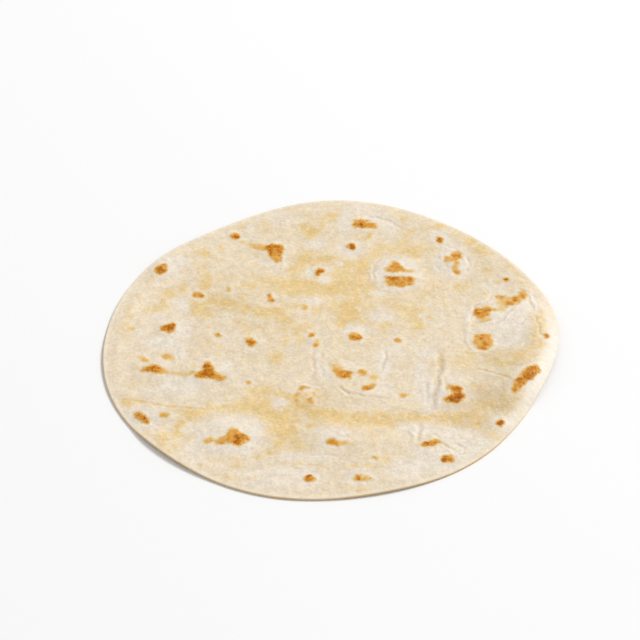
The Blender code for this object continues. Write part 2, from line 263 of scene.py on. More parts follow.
# toasted spots: x, y, length, width (mm), turn in degrees, how brown (1 is well toasted)
TOASTED = (
    (20.5, 100.8, 14, 6.4, -3, .75), (16, 102, 4.6, 8.5, -8, .85), (18.5, 105.6, 8, 3, -3, .75),
    (23.5, 101, 8, 6.4, 0, .55), (17.2, 102, 5, 3.6, -20, 1), (22.8, 90, 2.4, 5, 0, .25),
    (12.3, 80.3, 4.5, 7, 0, 1), (10, 80.5, 3.5, 4, 0, .5), (-57.3, 90.3, 4.4, 6.2, 0, 1.05),
    (-55, 90, 3.2, 5.6, 0, .95), (-33, 78.4, 10.4, 9.6, 0, .88), (-33, 80.3, 6, 3, 0, 1.1),
    (-36.3, 77.5, 2.6, 4, 0, 1), (-32.6, 74, 9, 8.6, 0, .76), (-31.5, 71, 6.5, 11, 8, .62),
    (-41, 79.5, 13, 6, -15, .32), (-46, 81.8, 9, 4, -10, .2), (-52, 84.5, 3, 2.4, -30, .08),
    (-98.5, 59, 6, 8.8, -10, 1), (-96.3, 61.5, 4, 4, 0, .85), (-97.3, 58, 5, 6, 0, .95),
    (-6.8, 56.6, 4.4, 6.4, -20, 1), (-5, 58.5, 3, 3, 0, .6), (-75.3, 35.6, 7, 5.4, -50, .7),
    (-77.5, 37.8, 3, 2.6, 0, .6), (-58.5, 41.2, 3, 4.4, 10, .5), (-34.5, 34.5, 2.6, 4.6, 15, .5),
    (-33.8, 31.2, 3.8, 3.4, 0, .65), (-33, 31.2, 2.5, 2.7, 0, 1), (-34.8, 35.8, 2.5, 2.3, 0, .75),
    (-14.5, 24.5, 3.6, 4.6, 0, .38), (-16.5, 26.5, 3, 2, 0, .15), (37, 64, 5.2, 6.4, 0, .62),
    (37.6, 61, 9.4, 5.6, 0, .76), (38.3, 58.1, 13.4, 4.2, 0, .62), (44.5, 57.4, 6, 2, -8, .3),
    (33.6, 57.8, 5, 2.6, 15, .6), (39.3, 50, 15.8, 4.6, 0, .72), (39, 47.4, 15, 6.6, 0, .66),
    (38.8, 45, 13, 4.6, 0, .66), (44.8, 49, 4, 6.4, -10, .8), (33.4, 47, 4.2, 4.2, 0, .66),
    (44.4, 45.6, 5, 4, 10, .66), (39, 51.5, 13, 2.2, -2, .92), (34, 50.6, 2.6, 3.4, 0, 1),
    (41, 46.5, 3, 3, 0, .9), (45, 48, 2.6, 5, -15, .85), (33.5, 50.5, 3, 3, 0, .85),
    (64.2, 86.3, 4.5, 7, 0, 1.05), (73, 71, 6, 9.5, -15, .7), (75, 71, 2.3, 5.7, -10, .95),
    (71, 72, 2.2, 3.7, 0, .9), (67.8, 68.3, 5.5, 5.6, 0, .45), (72.8, 64.5, 3.6, 5.5, 0, .65),
    (71.5, 60.5, 4, 4.5, 10, .45), (72.4, 56.7, 3.4, 4.8, 10, .8), (100.3, 50, 3.6, 5.6, -10, 1),
    (95, 46, 2.4, 2.6, 0, .1), (86.8, 37.5, 2.6, 2.4, 0, .35), (83.5, 20, 9.5, 8, 0, .7),
    (87, 24, 5, 6.5, 20, .7), (85.5, 15, 7, 4.4, 0, .25), (81.5, 22.5, 2.5, 2.5, 0, .95),
    (88.3, 23, 2.3, 3.7, 0, 1), (82.5, 20.3, 2.7, 2.3, 0, .95), (95.2, 34, 3.6, 3.6, 0, .35),
    (95.3, 34.2, 2.5, 2.9, 0, .8), (95, 28, 3.4, 12, 5, .16), (98.5, 33.5, 4, 4, 0, .14),
    (100.3, 30.2, 11, 6.4, 25, .3), (96.3, 28.5, 6, 10, 5, .06), (105.5, 33.5, 7, 5, 40, .3),
    (99.5, 28.5, 2.7, 3.3, 0, .72), (102.2, 28.4, 3.3, 2.3, 0, .75), (103.9, 31.6, 2.7, 3.7, 0, .95),
    (104.6, 30.6, 4, 5, 30, .5), (108.4, 35.3, 4.6, 8, -8, .5), (108, 34.2, 2.9, 4.1, 0, .9),
    (107.8, 38.3, 3, 2.4, 0, .4), (106, 34, 3, 3, 0, .35), (93, 23, 5, 3, 0, .15),
    (83, -4.5, 10.5, 13.5, 0, .45), (84, 1.3, 6.5, 2.4, 10, .85), (87, .6, 2.3, 2.3, 0, 1),
    (80.5, 0, 2.4, 3, 0, .75), (82.6, -3, 2.5, 5, 20, .9), (84.3, -6.5, 2.6, 4, -15, .95),
    (85.8, -1, 2.3, 4.7, 10, .75), (82.3, -10, 4.7, 2.7, 0, .9), (80, -6, 2.3, 3, 0, .7),
    (86.5, -5, 2.4, 2.6, 0, .7), (118, .5, 3.6, 4.4, 0, .8), (-89.3, 7.2, 6.6, 8.4, 0, .95),
    (-92, 7, 5.4, 5, 0, .85), (-87.6, 10, 2.8, 4, 0, .85), (-110.7, 6, 3, 2.6, 0, .2),
    (-62.8, 1.2, 4.6, 2.6, -50, .5), (-62.4, .7, 2.2, 1.8, -40, .9), (-43.9, -5.3, 5.2, 8, 0, .7),
    (-46, -4.3, 3.3, 2.7, 0, .75), (-44.1, -5, 2.6, 3, 0, 1), (-42, -4.4, 2.7, 2.7, 0, .9),
    (-46.5, -1.3, 2.4, 2, 0, .2), (-11, 1.7, 3.6, 4, 0, .45), (-11.6, 1.2, 2.3, 2.7, 0, .95),
    (-10.2, 1, 2.1, 2.3, 0, .85), (-9.3, -7.2, 3.2, 3, 0, .6), (-8, -4.2, 3, 5, 0, .15),
    (13.2, 0, 7, 7, 0, .72), (12.5, 1.5, 6, 4, 0, .6), (13.3, -1.4, 4, 3, 0, 1.02),
    (36.5, -3.3, 5, 4.6, 0, .55), (-89.3, -16.8, 6.8, 5, -20, .42), (-86.5, -19, 4, 2.6, -40, .15),
    (-90, -16.5, 3.6, 3, 0, .55), (-101.3, -19, 5.2, 3, -45, .4), (-101.2, -19.2, 2.5, 2.1, 0, .75),
    (-105.5, -17, 4, 1.6, -25, .12), (-105.5, -24.8, 3, 2.4, 20, .25), (-97, -26.1, 9, 5.6, -5, .86),
    (-94.5, -27.5, 4.5, 6, 0, .9), (-98.2, -25.2, 6, 2.8, 8, 1.25), (-95, -26.6, 2.5, 5.7, 0, 1),
    (-92.3, -28, 2.9, 3.5, 0, .9), (-101, -27, 4, 2.6, 15, .8), (-90.3, -28.5, 7.4, 4.8, -15, .52),
    (-67, -31.2, 12.6, 6.4, -5, .84), (-65.8, -30.6, 8, 4.4, -5, 1.25), (-61.8, -32.4, 9, 6, -8, .8),
    (-66.5, -28, 6, 6, 0, .95), (-67.2, -24.6, 5, 6.6, 0, 1), (-65, -26.5, 4, 6, 15, .7),
    (-71.8, -32.3, 4, 4, 10, .75), (-60, -33.2, 5.6, 5.4, -5, .5), (-80, -30.5, 10, 3.6, 0, .2),
    (-75.5, -29.5, 4, 2, 0, .2), (-73.5, -25, 4.5, 1.8, 0, .2), (-44.2, -37.2, 3, 3.2, 0, .6),
    (6.8, -31, 9, 6.6, -15, .72), (3.5, -28, 8.6, 6.4, -35, .55), (9, -31.5, 4, 6, 0, .65),
    (4.6, -31.5, 2.3, 3.1, 0, .95), (7.5, -31.8, 2.5, 2.7, 0, .95), (9.8, -30, 2.1, 3.7, 0, .9),
    (1.2, -23.5, 5, 2.4, 0, .2), (16, -29.4, 5.6, 4.8, -10, .5), (15.8, -29.6, 2.7, 3.3, 0, .8),
    (22.5, -33.2, 4.4, 5.6, 0, .25), (22.3, -34, 2.6, 1.8, 0, .5), (18.5, -41, 6.6, 4.2, 0, .7),
    (21.3, -39.6, 3.6, 3.6, 20, .55), (18.3, -40.8, 3.7, 2.9, 0, 1), (8.5, -39, 4, 1.6, 0, .2),
    (-15.9, -41.8, 3.4, 2.8, 20, .75), (-13.5, -41, 3, 2.2, 0, .65), (-17.8, -46.2, 2, 2.2, 0, .5),
    (-11.8, -51.7, 4, 4.6, 0, .6), (37.6, -47.1, 5, 3.6, 0, .36), (37, -47.3, 2.6, 2.2, 0, .65),
    (40.3, -47, 2, 1.4, 0, .4), (66.3, -43.5, 6, 9, 0, .98), (62.5, -40.5, 5, 3.6, 0, .35),
    (64.8, -41.5, 3, 3, 0, .5), (64, -49.5, 11, 5.8, 12, 1), (65.5, -46.5, 5, 5, 0, .6),
    (67.3, -48, 4.4, 5.5, -10, 1.12), (65, -51.5, 4, 4, 0, 1.12), (107.5, -27.3, 7.6, 9, 0, .88),
    (104, -28, 6.4, 5, 0, .6), (104.3, -31.5, 10, 7.8, 35, .92), (100.5, -35.5, 8.6, 6.8, 55, .88),
    (98.2, -39, 4.6, 7, -20, .85), (96.8, -42.5, 3.8, 6, -15, .95), (109, -26, 2.5, 5.7, 0, 1),
    (104, -33, 5, 2.4, 30, 1), (96.5, -43, 2.5, 3.3, 0, 1), (106.5, -30, 3.7, 2.7, 0, 1),
    (87, -68, 4.4, 5.2, -20, 1.12), (-99, -64.2, 10, 6, -42, .78), (-101.7, -61.3, 5, 3.4, -20, .7),
    (-98.3, -64.5, 4, 3, -40, .95), (-96.3, -67, 3, 3.6, 0, .75), (-87.2, -62, 4.8, 4, -15, .55),
    (-49, -79.5, 11, 9, -10, .68), (-51, -76, 6.4, 9, 10, .65), (-48.4, -82, 6.2, 4.4, -8, 1.15),
    (-45.5, -79, 6.4, 5, -20, .85), (-53.5, -79.8, 7, 5.6, 0, .65), (-49, -78.4, 2, 7.4, 16, 1.1),
    (-56.8, -81.8, 7.4, 5, 0, .55), (-57, -82.4, 3.6, 2.4, 0, .75), (-64.4, -81.7, 4, 3, 0, .66),
    (-65, -81.7, 2, 2, 0, .75), (-62.3, -79, 1.8, 2.4, 0, .3), (-61, -82, 5, 2.2, 0, .5),
    (-.7, -82, 7, 5, -5, .82), (3.6, -82.4, 6, 4, -6, .4), (6.8, -82.9, 4, 2.8, 0, .2),
    (9.8, -83, 2, 2, 0, .2), (47.8, -83.8, 6.4, 4.2, 8, 1.02), (51.8, -82.9, 5, 4, 10, .88),
    (50.8, -83.2, 2.7, 3.7, 0, 1), (54, -81.8, 2.4, 3, 0, .4), (58.2, -94, 7.5, 5.6, 0, .85),
    (60.7, -95.3, 2.7, 3.7, 0, 1), (57.7, -93.5, 5, 4, 0, 1), (21.3, -93.5, 3, 2.2, -30, .5),
    (-67, -99, 2, 2, 0, .25), (-38.7, -94.2, 2, 2, 0, .25), (-11.9, -108.2, 5, 4.6, 0, 1),
    (-9.6, -108.3, 3.2, 3.4, 0, .6), (-12, -107.8, 2.7, 3.3, 0, 1), (12.8, -107.2, 4.6, 5.2, 0, .8),
    (16, -107.9, 4.6, 2.4, 0, .6), (18.6, -107.8, 2.9, 2.1, 0, .8), (76, -68.6, 2.6, 2.4, 0, .4),
    (43, 108, 2, 2, 0, .05),
)
# single grains of flour that caught, round a burst bubble: x, y (mm)
FRECKLES = (
    (-18.5, -47.5), (-18.6, -51), (-17.6, -54.5), (-14.5, -56), (-11, -56), (-14.4, -51.5), (-10, -46),
    (-15.8, -48.6), (-9.2, -43), (-76.8, 56.4), (-73, 60), (-2, 22), (-8.5, -4.2),
)
FRECKLE_SIZE = 2.0            # mm
FRECKLE_BROWN = 0.4
# dry floury areas: x, y, length, width (mm), turn in degrees, how pale (0 to 1)
DRY = (
    (-88, 67, 17, 11, -20, .8), (-91, 57, 9, 13, 0, .7), (-100, 45, 7, 5, 0, .7), (-33, 106, 24, 20, 0, .5),
    (9, 104, 9, 28, 0, .7), (17, 117, 18, 12, 0, .7), (28, 111, 17, 15, 0, .7), (35, 100, 13, 18, 0, .6),
    (-10, 83, 14, 13, 30, .7), (12, 78, 16, 18, 0, .8), (38.5, 55, 29, 35, 0, .8), (27, 58, 6, 22, 0, .8),
    (72, 68, 22, 36, 0, .7), (62, 62, 9, 17, 0, .8), (78, 64, 7, 17, 0, 1), (64, 90, 14, 16, 0, .7),
    (71, 83, 13, 8, -40, .8), (-84, 27, 8, 15, 0, .8), (-82, 6, 14, 19, 0, .7), (-96, 16, 13, 9, 0, .6),
    (-105, 4, 9, 8, 0, .6), (-91, -5, 28, 14, 0, .8), (-83, -15, 9, 13, 0, .7), (-57, -25, 9, 10, 0, .8),
    (-80, -39, 27, 19, 0, .75), (-95, -46, 15, 7, 0, .6), (-7, -19, 5, 15, 10, .6),
    (-4, -31, 6, 13, 20, .7), (28, -23, 8, 24, 5, .8), (29, -42, 11, 13, 0, .7), (34, -12, 13, 13, 0, .6),
    (51, -13, 17, 12, 0, .65), (48, -30, 9, 24, 0, .7), (51, -46, 12, 26, 0, .9), (63, -32, 15, 11, 0, .5),
    (58, -44, 5, 11, 0, .8), (98, 8, 23, 36, -15, 1), (107, 24, 9, 17, 0, .9), (112, 28, 9, 17, 0, .8),
    (111, -35, 11, 26, -30, 1), (118, -14, 7, 9, 0, .8), (122, -3, 4, 11, 0, .7), (76, 17, 6, 13, 0, .6),
    (62, 13, 6, 7, 0, .5), (-55, -68, 30, 9, 10, .7), (-40, -78, 10, 24, 0, .9), (-50, -88, 28, 8, -5, .8),
    (-60, -73, 9, 7, 0, .6), (-73, -72, 8, 8, 0, .6), (-69, -90, 14, 18, 30, .6), (-97, -64, 19, 19, 0, .7),
    (-88, -62, 11, 9, 0, .5), (-14, -93, 36, 7, 0, .7), (-24, -104, 44, 9, 0, .7),
    (-28, -111, 38, 12, 0, .6), (-12, -108, 14, 12, 0, .8), (0, -76, 22, 7, 0, .7), (0, -83, 18, 13, 0, .5),
    (13, -107, 18, 13, 0, .6), (46, -73, 24, 8, 0, .8), (64, -77, 24, 11, 0, .8), (70, -86, 24, 15, 30, .9),
    (50, -90, 22, 11, 0, .8), (58, -98, 28, 13, 25, .7), (42, -100, 32, 15, 15, .8),
    (38, -77, 6, 11, 0, .5), (5, 64, 6, 6, 0, .9), (-12, 56, 5, 9, 0, .8), (-3, 50, 8, 9, 0, .8),
    (-2, 60, 9, 5, -30, .7), (-10, 30, 13, 6, 0, .7), (5, 33, 5, 8, 0, .5), (29, 17, 14, 8, 0, .8),
    (28, 37, 11, 6, 0, .7), (51, 18, 6, 5, 0, .8), (-28, -55, 8, 10, 0, .9), (13, 7, 15, 8, 0, .7),
    (-36, 65, 9, 9, 0, .6), (-28, 66, 5, 13, 20, .6), (-47, 89, 11, 7, 0, .5), (-48, 100, 9, 11, 0, .6),
    (87, -68, 13, 15, 0, .7), (92, 43, 16, 7, 0, .6), (-15, -66, 3, 4, 0, .6), (-52, -79, 46, 32, 8, .6),
    (97, 8, 26, 42, -15, .7),
)
# damp yellow patches: x, y, length, width (mm), turn in degrees, how yellow (0 to 1)
DAMP = (
    (-73, 73, 9, 7, 0, .85), (-79, 77, 4, 8, 20, .6), (-64.5, 79, 3.5, 9, 0, .6), (-75, 61, 6, 8, 0, .55),
    (-71.5, 46, 7, 14, 0, .95), (-72, 52, 5, 8, 0, .6), (-84, 42, 8, 10, 20, .75), (-91, 37, 7, 9, -20, .8),
    (-97, 35, 7, 5, 0, .5), (-46, 44.5, 8, 6, 0, .9), (-60, 52, 11, 4, 0, .35), (-103, 51, 4, 4, 0, .4),
    (-107, 45, 5, 5, 0, .35), (-53.5, 99, 4.5, 6, 0, .7), (-45, 65, 3, 7, 0, .35), (-64, 36, 14, 5, 0, .6),
    (-70, 34, 8, 7, 0, .65), (-51, 32, 9, 8, 0, .65), (-99, 24, 12, 5, 5, .6), (-94, 31, 5, 14, 5, .6),
    (-75, 24.5, 11, 13, 0, .95), (-70, 21, 7, 12, 20, .9), (-60, 29, 18, 7, 0, .95),
    (-68, 30, 10, 6, 0, .85), (-48, 24, 9, 9, 0, .95), (-56, 25, 12, 6, 0, .75), (-115, 24, 5, 8, 0, .4),
    (-114, 6, 6, 30, 0, .35), (-67, 8, 3, 5, 0, .4), (-47, 10, 5, 9, 0, .45), (-52, 12, 8, 8, 0, .3),
    (-68, -5, 3.5, 6, 0, .4), (-61, -9, 3, 5, 0, .35), (-46, 3.5, 4.5, 6, 0, .6), (-35, 20, 20, 9, 0, .85),
    (-40, 22, 8, 6, 0, .9), (-27, 16, 9, 11, 0, .8), (-23, 25, 16, 7, 0, .5), (-8, 21, 4, 8, 20, .5),
    (-19, 6, 5, 9, 25, .7), (-22, 9, 22, 10, 0, .5), (-25, -3, 5, 8, 0, .7), (-17, -5, 4, 8, 0, .6),
    (-40, 7.5, 7, 4, 0, .65), (-30, -17, 11, 14, 0, .6), (-31, -19, 6, 7, 0, .75), (9, 19, 14, 15, 0, 1),
    (6, 11, 7, 6, 0, .95), (8, 26, 14, 6, 0, .9), (15, 33, 8, 15, 0, .85), (-1, 23, 4, 8, 0, .7),
    (18, 13, 5, 5, 0, .7), (0, 38, 40, 7, 0, .8), (-3, 41, 60, 10, 3, .85), (-20, 46, 38, 8, 0, .95),
    (11, 45, 30, 14, 0, .85), (10, 54, 34, 10, 0, .7), (23, 44, 8, 12, 0, .75), (35, 31, 18, 4, -20, .6),
    (37, 25, 6, 9, 20, .7), (23, 23, 5, 5, 0, .55), (31, 9.5, 8, 5, 0, .7), (28, 7, 5, 9, 0, .5),
    (48, 8, 6, 8, 0, 1), (47, 13, 6, 6, 0, .8), (43, 20, 12, 22, 0, .55), (41, 23, 5, 6, 0, .75),
    (51.5, 23.5, 7, 4, 0, .55), (56, 17, 4, 7, 0, .6), (46, 30, 10, 6, 0, .45), (-12, 94, 13, 10, -15, .95),
    (-15, 98, 7, 7, 0, .9), (-5, 101, 4, 8, 0, .75), (-5, 107, 7, 5, 20, .7), (1, 109.5, 8, 8, 0, .75),
    (-14.5, 112, 5, 5, 0, .65), (-38.5, 101, 5, 12, 0, .75), (-35, 96, 10, 10, 0, .3),
    (22.5, 90.5, 4, 6, 0, .6), (19, 89, 10, 5, 0, .4), (-15, 68, 9, 14, 0, 1), (-20, 61, 8, 8, 0, .85),
    (-21, 56, 8, 8, 0, .6), (-2, 69, 16, 5, 0, .95), (10, 67, 14, 6, 0, .8), (18, 63, 13, 10, 0, 1),
    (25, 71.5, 9, 4, 0, .9), (10, 60, 36, 14, 0, .65), (33, 77, 26, 12, 0, .6), (38.5, 76, 8, 8, 0, .75),
    (45, 75, 17, 10, 0, .85), (48, 70, 7, 6, 0, .85), (45, 95, 10, 6, 0, .6), (45, 87, 4, 14, 0, .5),
    (42.5, 108, 5, 7, 0, .75), (64.5, 99, 8, 6, 15, .9), (82, 85, 6, 9, 0, .85), (88, 76, 10, 8, 0, .7),
    (74, 91, 5, 6, 0, .45), (57, 98, 3, 7, 0, .4), (90, 58, 6, 6, 0, .6), (74, 43, 12, 10, 30, .5),
    (76, 41, 5, 4, 0, .65), (58, 47, 5, 13, -25, .45), (95, 46, 3, 4, 0, .6), (107, 56, 4, 20, 25, .45),
    (81, 33, 6, 6, 0, .35), (51, 32, 10, 6, 0, .45), (116, 12, 8, 18, 0, .6), (117, 4, 7, 12, 0, .6),
    (112, -8, 12, 5, 20, .7), (91, -17, 6, 14, 0, .8), (87, -19, 8, 5, 0, .65), (102, -15, 10, 7, 30, .95),
    (96, -15, 8, 6, 0, .6), (108, -16, 5, 5, 0, .5), (75, -17, 7, 9, 20, .6), (92, -33, 8, 7, 0, .6),
    (80, -44, 11, 11, 0, .45), (76, -40, 8, 5, 0, .45), (97, -52, 6, 4, 0, .5), (93, -58, 6, 7, 0, .45),
    (82, -55, 25, 13, 8, .5), (88, -52, 6, 4, 0, .6), (74, -63, 14, 6, 0, .7), (76, -68, 5, 6, 0, .6),
    (70, -67, 6, 6, 0, .45), (85, -62, 22, 8, 0, .5), (84, -77, 9, 8, 0, .6), (85, -79, 4, 4, 0, .75),
    (75, -73, 11, 8, 0, .3), (66, -65, 9, 6, 0, .85), (57, -66, 12, 6, 0, .65), (48.5, -65, 9, 5, 0, .95),
    (41, -64, 24, 8, 0, .7), (40, -62.5, 5, 4, 0, .95), (24, -66, 21, 9, -5, .98), (13, -64, 9, 5, 0, .95),
    (10, -65, 30, 9, 0, .75), (3, -63, 12, 9, 0, 1), (-6, -61, 24, 10, -5, 1), (-15, -56, 14, 14, 0, 1),
    (-22, -50, 7, 5, 0, .95), (-12, -49, 14, 10, 0, .8), (-12, -70, 8, 5, 0, .65),
    (-28, -64, 20, 14, -15, 1), (-26, -73, 16, 14, 0, 1), (-27, -81, 9, 14, 0, 1),
    (-19, -82, 10, 16, 20, .65), (-33, -90, 10, 5, 10, .8), (-39, -56, 22, 12, -15, 1),
    (-45, -55, 12, 10, 0, 1), (-53, -56, 9, 8, 0, .7), (-62, -57, 17, 5, 5, .7), (-68, -60, 11, 8, 30, .85),
    (-75, -62, 10, 9, 0, 1), (-79, -70, 5, 9, -10, .9), (-80, -76, 6, 8, 0, .75),
    (-84, -56.5, 9, 4, -15, .75), (-93, -54, 7, 3, -10, .65), (-103, -52, 12, 4, -12, .65),
    (-109, -52, 8, 6, -20, .95), (-38, -45, 15, 12, 0, .65), (-28, -45, 6, 6, 0, .75),
    (-87, -79, 8, 8, 0, .75), (-87, -84, 7, 7, 0, .7), (-80, -85, 7, 4.5, 0, .65), (-84, -88, 7, 4, 0, .5),
    (-96, -76, 5, 4, 0, .45), (-103, -74, 7, 4, -40, .45), (-75, -79.5, 4.5, 4.5, 0, .45),
    (-59, -94, 7, 6, 0, .5), (-48.5, -98, 5, 7, 0, .55), (-50, -94, 9, 5, 0, .4),
    (-38.5, -93, 4, 4, 0, .55), (-40, -108, 6, 4, 0, .35), (-51, -109, 9, 4, -15, .5),
    (21, -76, 8, 20, 0, .3), (5, -43, 9, 3, -30, .4), (13, -50, 7, 4, 0, .3), (-13, -98.3, 15, 1.4, 0, .5),
    (10.5, -99.5, 5, 3.5, 0, .6), (19, -99, 6, 4, 0, .65), (27, -95, 5, 9, 20, .5),
    (13, -117, 6, 6, 0, .55), (8, -113, 6, 5, 0, .4), (24, -110, 4, 7, 0, .3), (10, 36, 34, 44, 0, .55),
    (36, 32, 24, 20, 0, .35), (38, 77, 48, 14, 0, .5), (-25, 45, 56, 18, 0, .4),
    (98, -48, 18, 22, -30, .62), (96, -20, 20, 10, 0, .5), (57, -63.5, 22, 6, -5, .75),
    (20, 67, 26, 20, 0, .55), (-15, 68, 20, 22, 0, .5), (40, 80, 38, 9, 4, .5), (14, 63, 20, 18, 0, .9),
    (29, 74, 16, 12, 0, .6), (56.5, 47, 5, 16, -15, .35), (55, 45, 20, 26, 0, .4),
    (72, -20, 30, 16, 0, .35), (113, 4, 8, 22, 0, .6), (66, -66, 40, 8, -4, .5),
    (100, -60, 10, 16, -35, .4),
)
# areas a little darker all over, partly baked darker and partly painted shade: x, y, length, width (mm),
# turn in degrees, how dark (0 to 1)
TAN_AND_SHADE = (
    (78, -55, 40, 24, 10, 1), (74, -67, 34, 14, 0, .8), (86, -36, 20, 16, 0, .3), (93, -19, 32, 14, 0, .6),
    (108, 0, 10, 26, 0, .7), (84, -76, 20, 14, 0, .6), (92, 72, 84, 34, -50, .7), (-60, 28, 50, 18, 0, .5),
    (-12, 94, 24, 24, 0, .5), (-20, 40, 60, 22, 0, .4), (-12, 68, 26, 12, 0, .5), (9, 19, 20, 22, 0, .5),
    (-28, -72, 26, 30, 0, .5), (-25, -60, 60, 14, 0, .5), (20, -65, 60, 10, 0, .4),
    (-37, 100, 16, 16, 0, .5), (88, 62, 20, 34, 0, .5), (30, 92, 16, 18, 0, .4), (-75, 64, 20, 30, 0, .4),
    (-84, -62, 30, 10, -10, .5), (2, -92, 70, 5, 0, .4), (-45, 55, 30, 20, 0, .3), (62, -18, 24, 16, 0, .3),
    (-75, 12, 20, 16, 0, .3),
)
# areas made paler by painted light: x, y, length, width (mm), turn in degrees, how pale (0 to 1)
PAINTED_LIGHT_AREAS = (
    (-108, 52, 34, 44, 0, 1), (-112, 20, 24, 36, 0, .7), (-95, 78, 30, 20, 40, .8),
    (-86, 30, 30, 40, 0, .3), (-100, -75, 34, 22, -45, .7), (-76, -98, 34, 18, -35, .6),
    (-46, -62, 40, 40, 0, .3), (76, 4, 24, 30, 0, .3), (97, 8, 18, 32, -15, .5), (108, 26, 8, 18, -10, .4),
    (-116, -12, 14, 50, 0, .5),
)
# what the photo doesn't show: the lower face has spots of its own, by a seeded rule
UNDER_SPOTS = 46
UNDER_PATCHES = 22
UNDER_SEED = 7
UNDER_REACH = 116             # mm from the middle to the outermost
UNDER_STRAY = 6               # mm that each may lie nearer or farther out than an even spread
UNDER_SWING = 0.25            # radians that each may lie to either side
UNDER_RAGGED = 1.6            # how much more ragged they are than the upper face's


def under_ovals(count, seed, lengths, strengths):
    """Ovals spread evenly over the lower face, each of a random size and turn."""
    draw = np.random.default_rng(seed)
    golden = math.pi * (3 - math.sqrt(5))    # the angle by which seeds in a flower head turn
    ovals = []
    for turn in range(count):
        reach = UNDER_REACH * math.sqrt((turn + 0.5) / count) + draw.uniform(-UNDER_STRAY, UNDER_STRAY)
        way = turn * golden + draw.uniform(-UNDER_SWING, UNDER_SWING)
        length = draw.uniform(*lengths)
        ovals.append((reach * math.cos(way), reach * math.sin(way), length,
                      length * draw.uniform(0.55, 1.0), draw.uniform(0, 180), draw.uniform(*strengths)))
    return ovals


def strongest(u_mm, v_mm, ovals, softness):
    """Soft field of a list of ovals: full inside, fading out over a share of each oval's size."""
    field = np.zeros_like(u_mm)
    for *oval, strength in ovals:
        inside = (1 + softness - oval_distance(u_mm, v_mm, *oval)) / (2 * softness)
        field = np.maximum(field, strength * smooth_step(inside))
    return field


TOAST_MERGE = 0.45            # mm over which spots that touch run into one another
TOAST_REACH = 6.0             # mm in or out from an oval's edge, past which nothing changes
BROWNER_WINS = 3              # where ovals overlap, each counts by its own brown to this power
OWN_BROWN = 3.0               # how fast, per mm inward, an oval's own brown wins over its neighbours'
OWN_DEPTH = 0.9               # mm in from its edge at which it has won
NEXT_TO_NONE = 1e-6           # keeps the logarithm and the division defined far from every spot


def toast_fields(u_mm, v_mm, ovals):
    """How deep a point is inside a toasted spot (mm, less than 0 outside), and how brown that spot is."""
    total, weight = np.full_like(u_mm, NEXT_TO_NONE), np.full_like(u_mm, NEXT_TO_NONE)
    brown = np.zeros_like(u_mm)
    for *oval, strength in ovals:
        inside = (1 - oval_distance(u_mm, v_mm, *oval)) * min(oval[2], oval[3]) / 2
        inside = np.clip(inside, -TOAST_REACH, TOAST_REACH)
        total += np.exp(inside / TOAST_MERGE)
        pull = strength ** BROWNER_WINS * np.exp(OWN_BROWN * np.minimum(inside, OWN_DEPTH))
        brown += strength * pull
        weight += pull
    return TOAST_MERGE * np.log(total), brown / weight


# the marks' places were found looking from the front, at this rise, as if all lay at this height (mm)
SEEN_RISE = math.radians(40.5)
SEEN_HEIGHT = 2.3

middle_x, middle_y = outline_middle()
lower = underside_height(flat_x, flat_y, angle, inset)
thick = dough_thickness(inset)
swell = blister_rise(x_mm, y_mm, BLISTERS) + blister_rise(x_mm, y_mm, SMALL_BLISTERS)
seen_y = np.where(is_top, y_mm + ((lower + thick + swell) / MM - SEEN_HEIGHT) / math.tan(SEEN_RISE), y_mm)

# edges of marks and patches waver: grain and reach of each kind of waver (mm)
WIDE_WAVER, WIDE_REACH = 7.0, 0.7
CLOSE_WAVER, CLOSE_REACH = 2.4, 0.45
PATCH_WAVER, PATCH_REACH = 9.0, 2.2


def ragged(wide_seed, close_seed):
    """How far (mm) each point is moved before it looks up the marks, so that their edges are ragged."""
    wide = WIDE_REACH * cloud(x_mm, y_mm, WIDE_WAVER, wide_seed)
    return wide + CLOSE_REACH * cloud(x_mm, y_mm, CLOSE_WAVER, close_seed, octaves=1)


ragged_x, ragged_y = ragged(11.3, 5.1), ragged(23.9, 17.7)
patch_x = x_mm + PATCH_REACH * cloud(x_mm, y_mm, PATCH_WAVER, seed=31.3, octaves=3)
patch_y = seen_y + PATCH_REACH * cloud(x_mm, y_mm, PATCH_WAVER, seed=41.9, octaves=3)

under_spots = under_ovals(UNDER_SPOTS, UNDER_SEED, lengths=(3, 13), strengths=(0.35, 1.0))
under_dry = under_ovals(UNDER_PATCHES, UNDER_SEED + 1, lengths=(20, 55), strengths=(0.4, 0.8))
under_damp = under_ovals(UNDER_PATCHES, UNDER_SEED + 2, lengths=(14, 48), strengths=(0.3, 0.9))

freckles = tuple((x, y, FRECKLE_SIZE, FRECKLE_SIZE, 0, FRECKLE_BROWN) for x, y in FRECKLES)
top_depth, top_brown = toast_fields(x_mm + ragged_x, seen_y + ragged_y, TOASTED + freckles)
low_x, low_y = x_mm + UNDER_RAGGED * ragged_x, y_mm + UNDER_RAGGED * ragged_y
low_depth, low_brown = toast_fields(low_x, low_y, under_spots)
toast_depth = np.where(is_top, top_depth, low_depth)
toast_brown = np.where(is_top, top_brown, low_brown)
# patches are soft at their edges, and damp ones have a wide faint surround as well; on the lower face every
# third damp patch is a darker one too
DAMP_CORE, DAMP_SURROUND = 0.55, 0.45
top_dry = strongest(patch_x, patch_y, DRY, softness=0.5)
dry = np.where(is_top, top_dry, strongest(patch_x, patch_y, under_dry, softness=0.35))
damp_core = strongest(patch_x, patch_y, DAMP, softness=0.6)
damp_surround = strongest(patch_x, patch_y, DAMP, softness=1.6)
top_damp = DAMP_CORE * damp_core + DAMP_SURROUND * damp_surround
damp = np.where(is_top, top_damp, strongest(patch_x, patch_y, under_damp, softness=0.5))
# on the upper face, tan is partly baked darker and partly painted shade
top_tan_and_shade = strongest(patch_x, patch_y, TAN_AND_SHADE, softness=0.45)
tan = np.where(is_top, top_tan_and_shade, strongest(patch_x, patch_y, under_damp[::3], softness=0.5))
